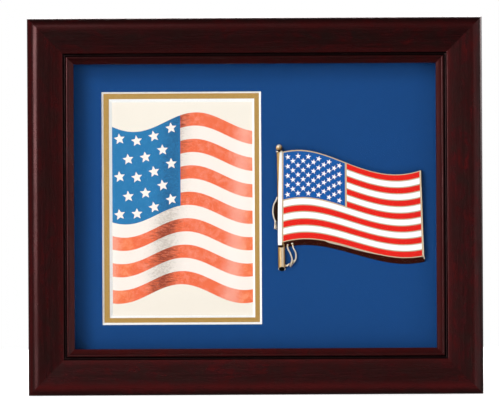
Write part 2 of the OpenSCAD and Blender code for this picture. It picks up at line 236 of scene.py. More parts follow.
def lathe(build, centre, axis, profile, sides=40, slot=0):
    """Turns a list of (distance along axis, radius) about the axis."""
    n = Vector(axis).normalized()
    a = n.orthogonal().normalized()
    b = n.cross(a)
    capped(build, [ring(Vector(centre) + n * h, a, b, r, sides) for h, r in profile], slot)


# ---------------------------------------------------------------------------
# Material helpers
# ---------------------------------------------------------------------------
class Mat:
    """A Principled material with short calls for the nodes that feed it."""

    def __init__(self, name, **fixed):
        self.m = bpy.data.materials.new(name)
        self.m.use_nodes = True
        self.nt = self.m.node_tree
        self.bsdf = self.nt.nodes["Principled BSDF"]
        for key, value in fixed.items():
            self.bsdf.inputs[key.replace("_", " ")].default_value = value

    def add(self, kind, inputs=None, **props):
        n = self.nt.nodes.new(kind)
        for key, value in props.items():
            setattr(n, key, value)
        for key, value in (inputs or {}).items():
            self.put(n.inputs[key], value)
        return n

    def put(self, socket, value):
        if isinstance(value, bpy.types.NodeSocket):
            self.nt.links.new(value, socket)
        else:
            socket.default_value = value

    def place(self, scale=(1, 1, 1), rotation=(0, 0, 0)):
        """Object coordinates in millimetres, stretched."""
        where = self.add("ShaderNodeTexCoord").outputs["Object"]
        scaled = [1000 * s for s in scale]
        return self.add(
            "ShaderNodeMapping", {"Vector": where, "Scale": scaled, "Rotation": rotation}
        ).outputs["Vector"]

    def noise(self, vector, scale, detail=4.0, rough=0.55, distort=0.0):
        return self.add(
            "ShaderNodeTexNoise",
            {"Vector": vector, "Scale": scale, "Detail": detail, "Roughness": rough, "Distortion": distort},
        ).outputs["Fac"]

    def ramp(self, fac, stops):
        n = self.add("ShaderNodeValToRGB", {"Fac": fac})
        el = n.color_ramp.elements
        el[0].position, el[1].position = stops[0][0], stops[-1][0]
        for pos, _ in stops[1:-1]:
            el.new(pos)
        for e, (_, c) in zip(el, stops):
            e.color = (c, c, c, 1) if isinstance(c, (int, float)) else (*c, 1)
        return n.outputs["Color"]

    def blend(self, fac, a, b, how="MIX"):
        n = self.add("ShaderNodeMix", data_type="RGBA", blend_type=how)
        self.put(n.inputs["Factor"], fac)
        self.put(n.inputs["A"], (*a, 1) if isinstance(a, tuple) else a)
        self.put(n.inputs["B"], (*b, 1) if isinstance(b, tuple) else b)
        return n.outputs["Result"]

    def tones(self, layer):
        read = self.add("ShaderNodeVertexColor", layer_name=layer).outputs["Color"]
        return self.add("ShaderNodeSeparateColor", {"Color": read}).outputs

    def maths(self, how, a, b=0.0):
        n = self.add("ShaderNodeMath", operation=how)
        self.put(n.inputs[0], a)
        self.put(n.inputs[1], b)
        return n.outputs["Value"]

    def colour(self, socket):
        self.put(self.bsdf.inputs["Base Color"], socket)

    def rough(self, fac, low, high):
        n = self.add("ShaderNodeMapRange", {"Value": fac, "To Min": low, "To Max": high})
        self.put(self.bsdf.inputs["Roughness"], n.outputs["Result"])

    def bump(self, height, distance, strength=1.0):
        n = self.add("ShaderNodeBump", {"Height": height, "Distance": distance * MM, "Strength": strength})
        self.put(self.bsdf.inputs["Normal"], n.outputs["Normal"])
        return n.outputs["Normal"]


def wood(name, along, shade):
    """Dark mahogany stain under satin lacquer, with the grain along X or Z.

    shade scales this length's colour: painted light and shade, darkest on the top length.
    """
    m = Mat(name, Coat_Weight=0.06, Coat_Roughness=0.2, Specular_Tint=(1.0, 0.46, 0.46, 1))
    painted_shade_and_sheen = m.tones("painted_shade_and_sheen")  # painted shade (Red) and painted red sheen (Green) round the section, amounts judged

    def grain(squeeze):
        """Places squeezed along the grain, so that the figure is drawn out."""
        return m.place((squeeze, 1, 1) if along == "x" else (1, 1, squeeze))

    blotch = m.noise(grain(0.7), 0.10, 5, 0.68, 0.6)
    cloud = m.noise(grain(0.5), 0.035, 3, 0.6)
    streak = m.noise(grain(0.05), 0.55, 5, 0.65, 0.3)
    fine = m.noise(grain(0.12), 2.2, 4, 0.65)

    def stain(*rgb):
        return tuple(shade * c for c in rgb)

    body = m.ramp(
        blotch,
        [
            (0.36, stain(0.0120, 0.0046, 0.0038)),
            (0.46, stain(0.0215, 0.0040, 0.0036)),
            (0.54, stain(0.0300, 0.0026, 0.0036)),
            (0.64, stain(0.0500, 0.0024, 0.0026)),
        ],
    )
    body = m.blend(m.ramp(cloud, [(0.42, 0.0), (0.60, 0.6)]), body, stain(0.0180, 0.0030, 0.0030))
    body = m.blend(m.ramp(streak, [(0.42, 0.0), (0.62, 0.8)]), body, stain(0.0130, 0.0030, 0.0027))
    body = m.blend(m.ramp(fine, [(0.52, 0.0), (0.66, 0.7)]), body, stain(0.0070, 0.0016, 0.0014))
    painted_sheen_colour = m.blend(blotch, stain(0.0260, 0.0030, 0.0034), stain(0.0700, 0.0044, 0.0044))
    # Painted red sheen on the shoulders and the lip.
    body = m.blend(painted_shade_and_sheen["Green"], body, painted_sheen_colour)
    # Painted shade: near black in the groove, darker at the outer edge and the back.
    body = m.blend(painted_shade_and_sheen["Red"], body, (0.0012, 0.0008, 0.0009))
    m.colour(body)
    figure = m.maths("ADD", streak, blotch)
    span = {"From Min": 0.8, "From Max": 1.2, "To Min": 0.58, "To Max": 0.32}
    shine = m.add("ShaderNodeMapRange", {"Value": figure, **span})
    m.put(m.bsdf.inputs["Specular IOR Level"], shine.outputs["Result"])
    m.rough(m.maths("ADD", m.maths("MULTIPLY", streak, 0.6), painted_shade_and_sheen["Red"]), 0.24, 0.36)
    m.bump(fine, 0.04, 0.2)
    return m.m


METAL_GRAIN = 1.6


def card(name, base, dark, metallic=0.0, rough=(0.78, 0.95), fibre=2.6):
    """Facing paper of a mat board: short fibres and a faint mottling."""
    m = Mat(name, Metallic=metallic, Specular_IOR_Level=0.06)
    fibres = m.noise(m.place((1, 1, 0.55)), fibre, 4, 0.65, 0.6)
    mottle = m.noise(m.place(), 0.06, 3)
    tone = m.blend(m.ramp(fibres, [(0.30, 0.0), (0.75, 1.0)]), dark, base)
    tone = m.blend(m.ramp(mottle, [(0.35, 0.0), (0.70, 0.18)]), tone, dark)
    m.colour(tone)
    m.rough(fibres, *rough)
    m.bump(fibres, 0.05, 0.35)
    return m.m


def metal(name, base, dark, rough, stretch=(1, 1, 1), metallic=1.0, spec=0.5):
    """Plated or bare metal: clouded colour and fine scratches, drawn out by stretch."""
    m = Mat(name, Metallic=metallic, Specular_IOR_Level=spec)
    cloud = m.noise(m.place(stretch), METAL_GRAIN * 0.12, 3)
    fine = m.noise(m.place(stretch), METAL_GRAIN, 5, 0.65)
    m.colour(m.blend(m.ramp(cloud, [(0.35, 0.0), (0.70, 0.6)]), base, dark))
    m.rough(fine, *rough)
    m.bump(fine, 0.02, 0.25)
    return m.m


def gold_with_painted_light(name, base, shade_colour, shine):
    """Gold plating; the mesh paints where it is dark (Red) and bright (Green).

    The painted tones stand for shade and reflections on the real casting: painted shade where dark, painted
    highlight where bright. They are not known wear or tarnish.
    """
    m = Mat(name, Metallic=0.35, Specular_Tint=(1.0, 0.75, 0.45, 1))
    told = m.tones("painted_shade_and_shine")
    cloud = m.noise(m.place(), 0.5, 4, 0.6)
    fine = m.noise(m.place(), 2.4, 3, 0.65)
    body = m.blend(m.ramp(cloud, [(0.35, 0.0), (0.70, 0.35)]), base, tuple(0.7 * c for c in base))
    body = m.blend(m.maths("MULTIPLY", told["Green"], m.ramp(fine, [(0.2, 0.8), (0.6, 1.0)])), body, shine)
    m.colour(m.blend(told["Red"], body, shade_colour))
    bare = m.maths("SUBTRACT", 1.0, told["Red"])
    m.put(m.bsdf.inputs["Specular IOR Level"], m.maths("MULTIPLY", bare, 0.45))
    m.rough(fine, 0.16, 0.30)
    m.bump(fine, 0.02, 0.25)
    return m.m


def enamel(name, base, dark):
    """Hard glossy enamel with faint clouding and the slight waviness of a polished face."""
    m = Mat(name, Coat_Weight=0.4, Coat_Roughness=0.05, Specular_IOR_Level=0.3)
    cloud = m.noise(m.place(), 0.35, 4, 0.6)
    speck = m.noise(m.place(), 6.0, 2)
    m.colour(m.blend(m.ramp(cloud, [(0.40, 0.0), (0.75, 0.5)]), base, dark))
    m.rough(speck, 0.14, 0.24)
    m.bump(cloud, 0.06, 0.2)
    return m.m


def plain(name, base, dark, rough, grain=1.2, bump=0.05, metallic=0.0, spec=0.4, stretch=(1, 1, 1)):
    m = Mat(name, Metallic=metallic, Specular_IOR_Level=spec)
    n = m.noise(m.place(stretch), grain, 5, 0.6)
    m.colour(m.blend(m.ramp(n, [(0.35, 0.0), (0.70, 1.0)]), base, dark))
    m.rough(n, *rough)
    m.bump(n, bump, 0.5)
    return m.m


# The four lengths differ only by shade: painted light and shade, the top darkest and the right lightest.
WOOD = {
    "moulding_top": wood("mahogany_top", "x", 0.50),
    "moulding_bottom": wood("mahogany_bottom", "x", 0.82),
    "moulding_left": wood("mahogany_left", "z", 0.78),
    "moulding_right": wood("mahogany_right", "z", 0.88),
}
BLUE_CARD = card("blue_facing", (0.0080, 0.0600, 0.2150), (0.0060, 0.0500, 0.1850))
GOLD_CARD = card("gold_facing", (0.5400, 0.3350, 0.1000), (0.4000, 0.2350, 0.0640), 0.2, (0.45, 0.62), 1.8)
CORE = plain("white_core", (0.94, 0.94, 0.92), (0.86, 0.86, 0.84), (0.85, 0.95), 3.0, 0.05, 0.0, 0.1)
SHADED_CORE = plain(
    "shaded_core", (0.70, 0.62, 0.48), (0.62, 0.54, 0.42), (0.85, 0.95), 3.0, 0.05, 0.0, 0.1
)
PAPER = plain("print_paper", (0.86, 0.80, 0.70), (0.84, 0.78, 0.68), (0.70, 0.85), 1.5, 0.02, 0.0, 0.15)
# Gold painted near black as shade and dark reflection: the casting's side walls and the cords' cores.
DARK_GOLD = metal(
    "gold_painted_dark", (0.046, 0.0042, 0.0008), (0.024, 0.0022, 0.0006), (0.22, 0.36), metallic=0.2, spec=0.04
)
# The near-black colour is painted shade, the pale colour a painted highlight.
GOLD_WITH_PAINTED_LIGHT = gold_with_painted_light("gold_with_painted_light", (0.74, 0.46, 0.175), (0.026, 0.009, 0.005), (1.0, 0.93, 0.80))
RED = enamel("red_enamel", (0.76, 0.016, 0.010), (0.68, 0.012, 0.008))
WHITE = enamel("white_enamel", (0.99, 0.98, 0.97), (0.96, 0.96, 0.96))
BLUE = enamel("blue_enamel", (0.008, 0.092, 0.350), (0.006, 0.072, 0.290))
ZINC = metal("zinc_plate", (0.60, 0.60, 0.62), (0.45, 0.45, 0.47), (0.26, 0.42), (0.3, 1, 1))
BLACK_STEEL = plain("black_oxide", (0.030, 0.030, 0.033), (0.018, 0.018, 0.020), (0.35, 0.55), 1.0, 0.03, 0.7)
BRASSED = metal("brassed_steel", (0.62, 0.46, 0.22), (0.48, 0.34, 0.15), (0.22, 0.38), (1, 1, 0.4))
RUBBER = plain("black_rubber", (0.020, 0.020, 0.020), (0.012, 0.012, 0.012), (0.70, 0.85), 2.0, 0.05)
HARDBOARD = plain("black_hardboard", (0.022, 0.020, 0.019), (0.012, 0.011, 0.011), (0.60, 0.80), 1.4, 0.08)
FILLER = plain("filler_card", (0.62, 0.60, 0.55), (0.50, 0.48, 0.44), (0.85, 0.95), 1.6, 0.05)
FOAM = plain("black_foam", (0.020, 0.020, 0.022), (0.012, 0.012, 0.013), (0.85, 0.95), 2.6, 0.10)


def glass():
    """Clear pane: nearly all of it lets light straight through."""
    m = Mat("clear_glass", Roughness=0.03, Alpha=0.05)
    dust = m.noise(m.place(), 0.5, 4)
    m.colour(m.blend(m.ramp(dust, [(0.5, 0.0), (0.9, 0.5)]), (0.02, 0.03, 0.03), (0.06, 0.06, 0.06)))
    m.rough(dust, 0.02, 0.06)
    return m.m


GLASS = glass()

# ---------------------------------------------------------------------------
# CAD nodes that stay, with their finishes
# ---------------------------------------------------------------------------
FINISH = {
    "v_nails": ZINC, "glass_pane": GLASS, "spacer_top": FOAM, "spacer_bottom": FOAM,
    "spacer_left": FOAM, "spacer_right": FOAM, "photo_print": PAPER, "filler_board": FILLER,
    "backing_board": HARDBOARD, "push_nuts": ZINC, "turn_button_screws": BRASSED,
    "sawtooth_hanger": ZINC, "hanger_nails": BRASSED,
    "bumper_pads": RUBBER, "easel_board_leaf": BRASSED, "easel_board_rivets": BRASSED,
    "easel_hinge_pin": ZINC, "easel_leg": HARDBOARD, "easel_leg_leaf": BRASSED, "easel_leg_rivets": BRASSED,
}
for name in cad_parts:
    if name.startswith("turn_button_") and name != "turn_button_screws":
        FINISH[name] = BLACK_STEEL
for name, finish in FINISH.items():
    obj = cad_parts[name]
    obj.data.materials.clear()
    obj.data.materials.append(finish)

# ---------------------------------------------------------------------------
# Moulding: four mitred lengths with a rounded shoulder, a groove and a bead
# ---------------------------------------------------------------------------
FRAME_HALF = [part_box("rail_top")[1].x / MM, (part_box("rail_top")[1].z - MID_Z) / MM]
RAIL_DEPTH = depth_of("rail_top", 1)
SHOULDER_R = 7.5
RABBET_W = 24.3
MOULDING_W = 31.1
LIP_REAR = 7.0


def arc(mid, radius, a0, a1, n):
    """Points on a circle; 0 degrees points inward, 90 degrees forward."""
    out = []
    for i in range(n + 1):
        q = math.radians(a0 + (a1 - a0) * i / n)
        out.append((mid[0] + radius * math.cos(q), mid[1] - radius * math.sin(q)))
    return out


def moulding_section():
    """(distance in from the outer edge, depth, painted shade, painted red sheen) round the section."""
    out = [(0, RAIL_DEPTH, 0.1, 0.2), (0, 16, 0.1, 0.4)]
    for u, t in arc((SHOULDER_R, SHOULDER_R), SHOULDER_R, 180, 90, 16):
        k = u / SHOULDER_R
        out.append((u, t, 0.7 * max(0, 1 - 7 * k), 0))
    for k in (0.06, 0.12, 0.2, 0.5, 0.8, 0.92):
        fall = 1.4 * k - 0.12 * math.sin(math.pi * k)
        out.append((mix((SHOULDER_R, 23.5), k), fall, 0, 0.6 * max(0, (k - 0.75) * 4)))
    out += [(u, t, d, 0.6) for (u, t), d in zip(arc((23.45, 2.0), 0.6, 90, 0, 4), (0, 0, 0.1, 0.5, 1))]
    out += [(u, t, 1, 0) for u, t in arc((25.0, 3.0), 0.85, 175, 300, 6)]
    for (u, t), d in zip(arc((26.9, 2.75), 0.95, 190, 35, 10), (1, 1, 0.9, 0.4, 0, 0, 0, 0, 0, 0.1, 0.2)):
        out.append((u, t, d, 0.35))
    out += [(28.4, 2.85, 0.05, 0.5), (30.6, 4.05, 0, 0.6), (30.95, 4.3, 0, 0.8), (MOULDING_W, 4.55, 0.1, 0.7)]
    out += [(MOULDING_W, LIP_REAR, 0.3, 0.5), (RABBET_W, LIP_REAR, 0.5, 0), (RABBET_W, RAIL_DEPTH, 0.3, 0)]
    return out


def rails():
    section = moulding_section()
    across, up = FRAME_HALF
    for name, node, side, flat in (
        ("moulding_top", "rail_top", 1, True),
        ("moulding_bottom", "rail_bottom", -1, True),
        ("moulding_left", "stile_left", -1, False),
        ("moulding_right", "stile_right", 1, False),
    ):
        build = Build()
        rows, stations = [], 8
        for i in range(stations + 1):
            k = 2 * i / stations - 1
            row = []
            for u, t, _, _ in section:
                if flat:
                    row.append((k * (across - u), t, side * (up - u)))
                else:
                    row.append((side * (across - u), t, k * (up - u)))
            rows.append(row)
        capped(build, rows)
        if (side > 0) != flat:
            build.faces = [list(reversed(f)) for f in build.faces]
        obj = build.piece(name, [WOOD[name]], smooth=50)
        # Painted red sheen on the shoulder, strongest on the bottom and top lengths.
        painted_highlight = {"moulding_bottom": 1.0, "moulding_top": 0.9}.get(name, 0.25)
        # Painted shade at the outer shoulder edge: full on the top and bottom lengths, weak on the sides.
        rim = 1.0 if flat else 0.15
        painted_shade_and_sheen = []
        for u, t, dark, red in section:
            front = t < SHOULDER_R + 1
            red += painted_highlight * math.exp(-(((u - 5.8) / 2.4) ** 2)) if front else 0
            # More painted red sheen near the left length's outer edge.
            red += 0.6 if name == "moulding_left" and front and u < 3 else 0
            painted_shade_and_sheen.append((dark * (rim if u < SHOULDER_R and front else 1), min(1, red)))
        paint(obj, "painted_shade_and_sheen", painted_shade_and_sheen * (stations + 1) + list(reversed(painted_shade_and_sheen)) + painted_shade_and_sheen)
        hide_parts(node)


rails()

# ---------------------------------------------------------------------------
# Mats: facing paper over a white core, cut with a 45 degree bevel
# ---------------------------------------------------------------------------
def rectangle(sides, depth, n=6):
    """Points round a rectangle given as (left, right, foot, top), n steps to a side."""
    left, right, foot, top = sides
    corners = [(left, foot), (right, foot), (right, top), (left, top)]
    out = []
    for (ax, az), (bx, bz) in zip(corners, corners[1:] + corners[:1]):
        for k in range(n):
            out.append((mix((ax, bx), k / n), depth, mix((az, bz), k / n)))
    return out


def mat_board(name, node, facing, depth, front, rear, shaded=False):
    """A board with a bevelled window; front and rear are the window at its two faces.

    On a shaded board the core is painted darker along the left and top of the window. That stands
    for the shade the bevel lies in under light from the upper left, and it stays in any light.
    """
    build = Build()
    edge = (-BOARD_HALF[0], BOARD_HALF[0], -BOARD_HALF[1], BOARD_HALF[1])

    def loop(into):
        return rectangle([mix(pair, into / MAT_T) for pair in zip(front, rear)], depth + into)

    outer = [rectangle(edge, depth + into) for into in (MAT_T, FACING, FACING, 0)]
    build.grid([loop(FACING), loop(0), outer[3], outer[2]], 0, wrap_cols=True)
    build.grid([outer[1], outer[0], loop(MAT_T), loop(FACING)], 1, wrap_cols=True)
    obj = build.piece(name, [facing, CORE, SHADED_CORE] if shaded else [facing, CORE])
    for face in obj.data.polygons:
        n = face.normal
        if shaded and face.material_index == 1 and 0.3 < -n.y < 0.9 and (n.x > 0.3 or n.z < -0.3):
            face.material_index = 2
    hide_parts(node)


mat_board(
    "blue_mat", "mat_blue", BLUE_CARD, BLUE_FRONT,
    (-103.15, 4.35, -79.7, 77.2), (-101.8, 2.85, -78.1, 76.0),
)
mat_board(
    "gold_mat", "mat_gold", GOLD_CARD, GOLD_FRONT,
    (-98.4, -0.15, -75.1, 72.65), (-96.1, -1.8, -73.4, 70.2), True,
)

# ---------------------------------------------------------------------------
# Printed picture: a waving flag in watercolour and pencil, drawn on the paper.
# Places are millimetres from the window's upper left corner, right and down.
# ---------------------------------------------------------------------------
EDGE = 1.2


def on_print(a, b, layer):
    """A point of the drawing, on the paper's front face."""
    depth = PRINT_FRONT - 0.03 - 0.008 * layer
    return (WINDOW_MID[0] - WINDOW[0] / 2 + a, depth, WINDOW_MID[1] + WINDOW[1] / 2 - b)


# A plain waving flag of the builder's own, made by formula: even stripes on one running wave,
# a canton seven stripes high and staggered rows of stars.
STRIPES = 13
CANTON_STRIPES = 7
CANTON_END = 47.0
FLAG_TOP = 15.0
STRIPE_H = 8.9
WAVE_LENGTH = 84.0
WAVE_HEIGHT = 6.5
EDGE_SHIFT = 0.06
WAVE_START = 0.4
STAR_LINES = 5
FIRST_STAR = 6.0
STAR_STEP = 11.6
STAR_R = 3.9


def wave_turn(k, a):
    return 2 * math.pi * a / WAVE_LENGTH + EDGE_SHIFT * k + WAVE_START


def stripe_edge(k):
    """Edge k of the stripes, counted down from the top, as a function b(a)."""
    return lambda a: FLAG_TOP + STRIPE_H * k + WAVE_HEIGHT * math.sin(wave_turn(k, a))


def tone(stripe, a, w):
    """How dark, light and warm the drawing is at a place along and across a stripe."""
    q = wave_turn(stripe + w, a)
    dark = 0.85 * max(0, math.cos(q + 2.6)) ** 3
    light = 0.6 * max(0, math.cos(q - 0.9)) ** 6
    return dark, light, 0.6 * max(0, math.sin(q)) ** 2


class Drawing(Build):
    """Flat patches on the paper, each vertex with its tones."""

    def __init__(self):
        super().__init__()
        self.tones = []

    def patch(self, rows, tones, slot=0):
        self.grid(rows, slot)
        for row in tones:
            self.tones.extend(row)

    def polygon(self, points, tones, slot=0):
        self.face(points, slot)
        self.tones.extend(tones)

    def finish(self, name):
        obj = self.piece(name, INKS)
        paint(obj, "tone", self.tones)


def ink(name, base, dark, deep, light, warm, angle, stroke=0.22, soft=0.0):
    """Watercolour wash with pencil strokes; the mesh carries where it is dark, light or warm."""
    m = Mat(name, Specular_IOR_Level=0.12)
    told = m.tones("tone")
    turned = m.place((stroke, 1, 1), (0, math.radians(angle), 0))
    hatch = m.noise(turned, 1.3, 3, 0.65, 0.25)
    wash = m.noise(m.place(), 0.20, 5, 0.6, 0.6)
    speck = m.noise(m.place(), 1.9, 3, 0.7)

    def edge(source, noise, amount, low, high):
        """The tone with a ragged, brushed edge."""
        ragged = m.maths("MULTIPLY", m.maths("SUBTRACT", noise, 0.5), amount)
        return m.ramp(m.maths("ADD", source, ragged), [(low, 0.0), (high, 1.0)])

    body = m.blend(edge(told["Blue"], wash, 1.6, 0.30, 1.0), base, warm)
    body = m.blend(m.ramp(wash, [(0.46, 0.0), (0.72, 0.30)]), body, light)
    body = m.blend(m.ramp(speck, [(0.50, 0.0), (0.78, 0.30)]), body, dark)
    strokes = edge(told["Red"], hatch, 1.5 - 0.7 * soft, 0.22 - 0.20 * soft, 0.80 + 0.35 * soft)
    body = m.blend(strokes, body, dark)
    body = m.blend(m.maths("MULTIPLY", edge(told["Red"], hatch, 2.2, 0.62, 1.25), 0.8), body, deep)
    body = m.blend(edge(told["Green"], speck, 1.2, 0.15, 1.15), body, light)
    m.rough(wash, 0.65, 0.80)
    m.bump(speck, 0.01, 0.3)
    grit = m.noise(m.place(), 1.1, 2, 0.8)
    m.colour(m.blend(m.ramp(grit, [(0.55, 0.0), (0.75, 0.35)]), body, light))
    return m.m


# Each ink: base, dark, deepest, light and warm colour, and the strokes' direction and stretch.
INKS = [
    ink(
        "ink_red", (0.830, 0.148, 0.058), (0.430, 0.088, 0.040), (0.230, 0.036, 0.018),
        (0.930, 0.480, 0.390), (0.910, 0.230, 0.060), 35,
    ),
    ink(
        "ink_white", (0.900, 0.815, 0.745), (0.640, 0.590, 0.535), (0.520, 0.455, 0.400),
        (0.930, 0.850, 0.790), (0.900, 0.800, 0.720), -20, 0.5, 1.0,
    ),
    ink(
        "ink_blue", (0.022, 0.180, 0.400), (0.017, 0.110, 0.260), (0.014, 0.098, 0.225),
        (0.048, 0.250, 0.500), (0.031, 0.208, 0.440), 20, 0.8,
    ),
    ink(
        "ink_star", (0.930, 0.830, 0.770), (0.800, 0.700, 0.660), (0.700, 0.600, 0.550),
        (0.940, 0.860, 0.800), (0.930, 0.820, 0.760), 0, 0.8,
    ),
]
BLUE_INK, STAR_INK = 2, 3
FAR = WINDOW[0] + EDGE
ACROSS, ALONG = 8, 90


def picture_stripes():
    stripes = Drawing()
    for k in range(STRIPES):
        start = CANTON_END if k < CANTON_STRIPES else -EDGE
        top, foot = stripe_edge(k), stripe_edge(k + 1)
        places = [mix((start, FAR), i / ALONG) for i in range(ALONG + 1)]
        rows, tones = [], []
        for w in (j / ACROSS for j in range(ACROSS + 1)):
            rows.append([on_print(a, (1 - w) * top(a) + w * foot(a), 0) for a in places])
            tones.append([tone(k, a, w) for a in places])
        stripes.patch(rows, tones, k % 2)
    stripes.finish("print_stripes")


def star_points(mid, radius, turn, inner):
    """The ten corners of a star; inner is the notches' radius as a part of the tips'."""
    out = []
    for i in range(10):
        q = math.pi / 2 + turn + math.pi * i / 5
        r = radius if i % 2 == 0 else radius * inner
        out.append((mid[0] + r * math.cos(q), mid[1] + r * math.sin(q)))
    return out


def picture_canton():
    field = Drawing()
    top, foot = stripe_edge(0), stripe_edge(CANTON_STRIPES)
    down, over = 60, 40
    rows, tones = [], []
    places = [mix((-EDGE, CANTON_END), i / over) for i in range(over + 1)]
    for j in range(down + 1):
        v = j / down
        rows.append([on_print(a, mix((top(a), foot(a)), v), 2) for a in places])
        tones.append([(0.7 * tone(CANTON_STRIPES * v, a, 0)[0], 0, 0) for a in places])
    field.patch(rows, tones, BLUE_INK)
    rng = random.Random(11)
    for r in range(STAR_LINES):
        for k in range(3 if r % 2 else 4):
            a = FIRST_STAR + STAR_STEP * k + (STAR_STEP / 2 if r % 2 else 0)
            b = mix((top(a), foot(a)), (r + 0.5) / STAR_LINES)
            outline = star_points((0, 0), STAR_R, 0.12 + 0.2 * (rng.random() - 0.5), 0.46)
            pts = [on_print(a + p, b - q, 4) for p, q in outline]
            centre = on_print(a, b, 4)
            for i in range(10):
                shades = [(0, 0.4, 0), (0.1, 0, 0), (0.1, 0, 0)]
                field.polygon([centre, pts[i], pts[(i + 1) % 10]], shades, STAR_INK)
    field.finish("print_canton")


picture_stripes()
picture_canton()

# ---------------------------------------------------------------------------
# Medallion
# ---------------------------------------------------------------------------
def flag_loop(drop, rim, height, n=96, m=12):
    """Closed outline of the casting at a height above the mat."""
    left = [h - 0.3 for h in HOIST]
    right = [f + rim for f in FLY]
    top = [(mix((left[0], right[0]), i / n), -0.004) for i in range(n + 1)]
    foot = [(mix((right[1], left[1]), i / n), 1.004) for i in range(n + 1)]
    out = []
    for x, v in top:
        out.append((x, BLUE_FRONT - height - lift(x, v) * (height / CASTING_T), flag_z(x, v)))
    for i in range(1, m):
        v = i / m
        x = mix(right, v)
        z = mix((flag_z(right[0], -0.004), flag_z(right[1], 1.004) - drop), v)
        out.append((x, BLUE_FRONT - height - lift(x, v) * (height / CASTING_T), z))
    for x, v in foot:
        out.append((x, BLUE_FRONT - height - lift(x, v) * (height / CASTING_T), flag_z(x, v) - drop))
    for i in range(1, m):
        v = 1 - i / m
        x = mix(left, v)
        z = mix((flag_z(left[0], -0.004), flag_z(left[1], 1.004) - drop), v)
        out.append((x, BLUE_FRONT - height - lift(x, v) * (height / CASTING_T), z))
    return out


def casting():
    body = Casting()
    walls = [
        (SKIRT, 1.1, 0.0), (SKIRT, 1.05, 0.5), (SKIRT * 0.86, 1.0, 0.9),
        (SKIRT * 0.45, 0.7, 2.0), (0.3, 0.3, 3.0),
    ]
    body.grid([flag_loop(*w) for w in walls], 1, wrap_cols=True)
    body.mark((0, 0))
    edge = [(0.3, 0.3, 3.0), (0.1, 0.3, CASTING_T - 0.12), (0.0, 0.25, CASTING_T - 0.03), (0.0, 0.2, CASTING_T)]
    body.grid([flag_loop(*e) for e in edge], 0, wrap_cols=True)
    body.mark(edge_painted_light)
    rows = []
    for j in range(41):
        v = mix((-0.004, 1.004), j / 40)
        x0, x1 = mix(HOIST, v) - 0.3, mix(FLY, v) + 0.2
        places = [mix((x0, x1), i / 96) for i in range(97)]
        rows.append([(x, FACE_DEPTH - lift(x, v), flag_z(x, v)) for x in places])
    body.grid(rows, 0)
    # Faint painted highlight on the face under the enamel.
    body.mark((0.0, 0.4))
    body.finish("flag_casting", "medallion_casting")


def edge_painted_light(p):
    """Painted tones that stand for reflections: bright at the fly, dark along the top and foot."""
    x, _, z = p
    if x > FLY[0] - 0.3:
        return (0.1, 0.35)
    if x < HOIST[0] + 1.0:
        return (0.5, 0.0)
    if z > 0 and x < 50:
        return (1.0, 0.0)
    return (0.75, 0.0)


def bright_edges():
    """A lip under part of the enamel's foot and a bead down the fly.

    They stand for bright lines that may be only light on a plain edge.
    """
    lip = Casting()
    rows = []
    n = 70
    for i in range(n + 1):
        k = i / n
        x = mix((46.5, 84), k)
        wide = 0.95 * min(1, k * 12) * min(1, (1 - k) * 2.2) ** 0.8
        z, t = flag_z(x, 1.004), FACE_DEPTH - lift(x, 1.004)
        rows.append([
            (x, t + 0.4, z), (x, t - 0.02, z),
            (x, t - 0.02, z - 0.6 * wide - 0.02), (x, t + 0.5, z - wide - 0.03),
        ])
    capped(lip, rows)
    lip.mark((0.0, 0.6))
    line = []
    for i in range(61):
        v = mix((0.0, 1.0 + (SKIRT - 1.6) / (2 * FLAG_HALF)), i / 60)
        x = mix(FLY, v) + 0.22 + 10 * max(0, v - 1)
        line.append(Vector((x, FACE_DEPTH + 0.1 - lift(x, v), flag_z(x, v))))
    tube(lip, line, lambda k: 0.26 * min(1, 1.2 - 0.2 * k), 8)
    lip.mark(lambda p: (0.0, 0.6 if p[2] > -20 else 0.95))
    lip.finish("casting_bright_edges")


def enamel_field(build, v0, v1, xa, xb, n, across=8, rise=0.07):
    """One cell of enamel: a low cushion with rounded edges."""
    gap = CELL / (4 * FLAG_HALF)
    v0, v1 = v0 + gap, v1 - gap
    rows = []
    for j in range(across + 1):
        w = j / across
        v = mix((v0, v1), w)
        row = []
        for i in range(n + 1):
            u = i / n
            x = mix((mix(xa, v), mix(xb, v)), u)
            edge = min(w, 1 - w) * (v1 - v0) * 2 * FLAG_HALF
            side = min(u, 1 - u) * (mix(xb, v) - mix(xa, v))
            near = min(edge, side)
            dome = rise * math.sqrt(max(0, 1 - (1 - min(near / 0.45, 1)) ** 2))
            row.append((x, FACE_DEPTH + 0.05 - lift(x, v) - dome, flag_z(x, v)))
        rows.append(row)
    build.grid(rows)


def enamel_pieces():
    half = CELL / 2
    canton = [CANTON_X + half] * 2
    red, white, blue = Build(), Build(), Build()
    for i in range(13):
        xa = canton if i < 7 else [h + 0.05 for h in HOIST]
        enamel_field(white if i % 2 else red, i / 13, (i + 1) / 13, xa, FLY, 90 if i >= 7 else 56, 10)
    enamel_field(blue, 0, CANTON_V, [h + 0.05 for h in HOIST], [CANTON_X - half] * 2, 60, 44)
    for build, name, node, mat, slot in (
        (red, "red_stripes", "enamel_red", RED, "red_enamel"),
        (white, "white_stripes", "enamel_white", WHITE, "white_enamel"),
        (blue, "blue_canton", "enamel_blue", BLUE, "blue_enamel"),
    ):
        obj = build.piece(name, [mat], smooth=True)
        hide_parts(node)


